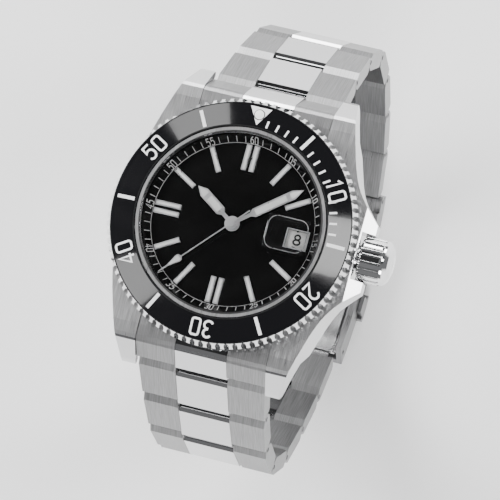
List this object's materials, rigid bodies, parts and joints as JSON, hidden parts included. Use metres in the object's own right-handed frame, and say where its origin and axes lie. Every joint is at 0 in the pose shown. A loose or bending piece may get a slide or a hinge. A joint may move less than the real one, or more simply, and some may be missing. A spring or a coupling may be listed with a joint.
{
  "type": "wristwatch",
  "caption": "Steel diver's wristwatch with rotating knurled bezel, screw-down crown, date window and a three-piece-link bracelet with a folding clasp.",
  "frame": {"origin": "middle of the case back's flat outer face, on the axis of the hands", "axes": "+Z out through the crystal, +Y towards 12 o'clock, +X towards 3 o'clock and the crown"},
  "size_m": [0.0469, 0.0742, 0.0755],
  "materials": {
    "brushed_steel": "brushed",
    "polished_steel": "polished",
    "spring_steel": "fine machined",
    "movement_metal": "rhodium-coloured, grained",
    "brass": "gilt",
    "seal_rubber": "matte",
    "sapphire": "clear polished",
    "dial_black": "gloss black lacquer",
    "insert_black": "gloss black ceramic",
    "lume": "matte luminous fill",
    "date_white": "matte white"
  },
  "bodies": {
    "case": {"case_middle": "brushed_steel", "case_back": "polished_steel", "case_back_gasket": "seal_rubber", "crystal": "sapphire", "crystal_gasket": "seal_rubber", "date_magnifier": "sapphire", "chapter_ring": "dial_black", "dial": "dial_black", "hour_markers": "polished_steel", "bezel_click_spring": "spring_steel", "bezel_retainer": "spring_steel", "main_plate": "movement_metal", "train_bridge": "movement_metal", "movement_screws": "spring_steel", "movement_holder": "spring_steel", "balance_cock": "spring_steel", "rotor_bearing": "spring_steel", "crown_tube": "polished_steel", "end_link_12": "brushed_steel", "end_link_6": "brushed_steel", "lug_spring_bars": "polished_steel"},
    "bezel": {"bezel_ring": "polished_steel", "bezel_insert": "insert_black", "bezel_pearl": "lume"},
    "hour_hand": {"hour_hand": "polished_steel"},
    "minute_hand": {"minute_hand": "polished_steel"},
    "seconds_hand": {"seconds_hand": "polished_steel"},
    "date_disc": {"date_disc": "date_white"},
    "balance": {"balance_wheel": "brass"},
    "barrel": {"mainspring_barrel": "brass"},
    "rotor": {"rotor": "movement_metal"},
    "setting_lever": {"setting_lever": "spring_steel"},
    "crown": {"crown": "polished_steel", "crown_gasket": "seal_rubber", "winding_stem": "spring_steel"},
    "row_12_1": {"link_12_1": "brushed_steel"},
    "row_12_2": {"link_12_2": "brushed_steel"},
    "row_12_3": {"link_12_3": "brushed_steel"},
    "row_12_4": {"link_12_4": "brushed_steel"},
    "row_12_5": {"link_12_5": "brushed_steel"},
    "row_12_6": {"link_12_6": "brushed_steel"},
    "row_12_7": {"link_12_7": "brushed_steel"},
    "row_6_1": {"link_6_1": "brushed_steel"},
    "row_6_2": {"link_6_2": "brushed_steel"},
    "row_6_3": {"link_6_3": "brushed_steel"},
    "row_6_4": {"link_6_4": "brushed_steel"},
    "row_6_5": {"link_6_5": "brushed_steel"},
    "row_6_6": {"link_6_6": "brushed_steel"},
    "row_6_7": {"link_6_7": "brushed_steel", "clasp_spring_bar": "polished_steel"},
    "clasp": {"clasp_cover": "brushed_steel", "clasp_cover_pins": "polished_steel"},
    "middle_blade": {"clasp_middle_blade": "brushed_steel", "clasp_fold_pin": "polished_steel"},
    "lower_blade": {"clasp_lower_blade": "brushed_steel"},
    "safety_catch": {"clasp_safety_catch": "brushed_steel"}
  },
  "joints": [
    {"name": "bezel_turn", "type": "hinge", "parent": "case", "child": "bezel", "pos_m": [0, 0, 0.0105], "axis": [0, 0, 1], "continuous": true},
    {"name": "minute_hand_turn", "type": "hinge", "parent": "case", "child": "minute_hand", "pos_m": [0, 0, 0.0108], "axis": [0, 0, -1], "continuous": true},
    {"name": "hour_hand_turn", "type": "hinge", "parent": "case", "child": "hour_hand", "pos_m": [0, 0, 0.0104], "axis": [0, 0, -1], "continuous": true},
    {"name": "seconds_hand_turn", "type": "hinge", "parent": "case", "child": "seconds_hand", "pos_m": [0, 0, 0.0112], "axis": [0, 0, -1], "continuous": true},
    {"name": "date_disc_turn", "type": "hinge", "parent": "case", "child": "date_disc", "pos_m": [0, 0, 0.0093], "axis": [0, 0, -1], "continuous": true},
    {"name": "barrel_turn", "type": "hinge", "parent": "case", "child": "barrel", "pos_m": [0.0054, 0.005, 0.005], "axis": [0, 0, -1], "continuous": true},
    {"name": "balance_swing", "type": "hinge", "parent": "case", "child": "balance", "pos_m": [-0.0066, -0.0046, 0.005], "axis": [0, 0, 1], "range_deg": [-150, 150], "stiffness_Nm_per_rad": 0.000001},
    {"name": "rotor_turn", "type": "hinge", "parent": "case", "child": "rotor", "pos_m": [0, 0, 0.0032], "axis": [0, 0, 1], "continuous": true},
    {"name": "crown_pull", "type": "slide", "parent": "case", "child": "setting_lever", "axis": [1, 0, 0], "range_m": [0, 0.0022]},
    {"name": "crown_turn", "type": "hinge", "parent": "setting_lever", "child": "crown", "pos_m": [0.0235, 0, 0.0064], "axis": [1, 0, 0], "continuous": true},
    {"name": "bracelet_opening", "type": "hinge", "parent": "case", "child": "row_12_1", "pos_m": [0, 0.0234, 0.0012], "axis": [1, 0, 0], "range_deg": [0, 24]},
    {"name": "row_12_2_hinge", "type": "hinge", "parent": "row_12_1", "child": "row_12_2", "pos_m": [0, 0.02995, -0.00582], "axis": [1, 0, 0], "range_deg": [0, 1.4]},
    {"name": "row_12_3_hinge", "type": "hinge", "parent": "row_12_2", "child": "row_12_3", "pos_m": [0, 0.03532, -0.01378], "axis": [1, 0, 0], "range_deg": [0, 1.4]},
    {"name": "row_12_4_hinge", "type": "hinge", "parent": "row_12_3", "child": "row_12_4", "pos_m": [0, 0.03828, -0.02291], "axis": [1, 0, 0], "range_deg": [0, 1.4]},
    {"name": "row_12_5_hinge", "type": "hinge", "parent": "row_12_4", "child": "row_12_5", "pos_m": [0, 0.03645, -0.03233], "axis": [1, 0, 0], "range_deg": [0, 1.4]},
    {"name": "row_12_6_hinge", "type": "hinge", "parent": "row_12_5", "child": "row_12_6", "pos_m": [0, 0.03209, -0.04089], "axis": [1, 0, 0], "range_deg": [0, 1.4]},
    {"name": "row_12_7_hinge", "type": "hinge", "parent": "row_12_6", "child": "row_12_7", "pos_m": [0, 0.02672, -0.04885], "axis": [1, 0, 0], "range_deg": [0, 1.4]},
    {"name": "row_6_1_hinge", "type": "hinge", "parent": "case", "child": "row_6_1", "pos_m": [0, -0.023, 0.0024], "axis": [-1, 0, 0], "range_deg": [0, 2.6]},
    {"name": "row_6_2_hinge", "type": "hinge", "parent": "row_6_1", "child": "row_6_2", "pos_m": [0, -0.02765, -0.006], "axis": [-1, 0, 0], "range_deg": [0, 1.4]},
    {"name": "row_6_3_hinge", "type": "hinge", "parent": "row_6_2", "child": "row_6_3", "pos_m": [0, -0.03156, -0.01477], "axis": [-1, 0, 0], "range_deg": [0, 1.4]},
    {"name": "row_6_4_hinge", "type": "hinge", "parent": "row_6_3", "child": "row_6_4", "pos_m": [0, -0.03323, -0.02422], "axis": [-1, 0, 0], "range_deg": [0, 1.4]},
    {"name": "row_6_5_hinge", "type": "hinge", "parent": "row_6_4", "child": "row_6_5", "pos_m": [0, -0.03026, -0.03335], "axis": [-1, 0, 0], "range_deg": [0, 1.4]},
    {"name": "row_6_6_hinge", "type": "hinge", "parent": "row_6_5", "child": "row_6_6", "pos_m": [0, -0.02422, -0.04081], "axis": [-1, 0, 0], "range_deg": [0, 1.4]},
    {"name": "row_6_7_hinge", "type": "hinge", "parent": "row_6_6", "child": "row_6_7", "pos_m": [0, -0.01743, -0.0476], "axis": [-1, 0, 0], "range_deg": [0, 1.4]},
    {"name": "clasp_hinge", "type": "hinge", "parent": "row_12_7", "child": "clasp", "pos_m": [0, 0.01937, -0.05502], "axis": [1, 0, 0], "range_deg": [0, 4.1]},
    {"name": "middle_blade_hinge", "type": "hinge", "parent": "clasp", "child": "middle_blade", "pos_m": [0, -0.0079, -0.05562], "axis": [1, 0, 0], "range_deg": [0, 102.55]},
    {"name": "lower_blade_hinge", "type": "hinge", "parent": "middle_blade", "child": "lower_blade", "pos_m": [0, 0.01441, -0.05632], "axis": [-1, 0, 0], "range_deg": [0, 121.34]},
    {"name": "safety_catch_hinge", "type": "hinge", "parent": "clasp", "child": "safety_catch", "pos_m": [0, 0.01071, -0.06097], "axis": [1, 0, 0], "range_deg": [0, 110]}
  ],
  "couplings": [
    {"joint": "hour_hand_turn", "follows": "minute_hand_turn", "ratio": 0.083333},
    {"joint": "barrel_turn", "follows": "minute_hand_turn", "ratio": -0.15385},
    {"joint": "row_12_2_hinge", "follows": "bracelet_opening", "ratio": 0.05},
    {"joint": "row_12_3_hinge", "follows": "bracelet_opening", "ratio": 0.05},
    {"joint": "row_12_4_hinge", "follows": "bracelet_opening", "ratio": 0.05},
    {"joint": "row_12_5_hinge", "follows": "bracelet_opening", "ratio": 0.05},
    {"joint": "row_12_6_hinge", "follows": "bracelet_opening", "ratio": 0.05},
    {"joint": "row_12_7_hinge", "follows": "bracelet_opening", "ratio": 0.05},
    {"joint": "row_6_1_hinge", "follows": "bracelet_opening", "ratio": 0.1},
    {"joint": "row_6_2_hinge", "follows": "bracelet_opening", "ratio": 0.05},
    {"joint": "row_6_3_hinge", "follows": "bracelet_opening", "ratio": 0.05},
    {"joint": "row_6_4_hinge", "follows": "bracelet_opening", "ratio": 0.05},
    {"joint": "row_6_5_hinge", "follows": "bracelet_opening", "ratio": 0.05},
    {"joint": "row_6_6_hinge", "follows": "bracelet_opening", "ratio": 0.05},
    {"joint": "row_6_7_hinge", "follows": "bracelet_opening", "ratio": 0.05},
    {"joint": "clasp_hinge", "follows": "bracelet_opening", "ratio": 0.15},
    {"joint": "middle_blade_hinge", "follows": "bracelet_opening", "ratio": 4.252},
    {"joint": "lower_blade_hinge", "follows": "bracelet_opening", "ratio": 5.035}
  ]
}
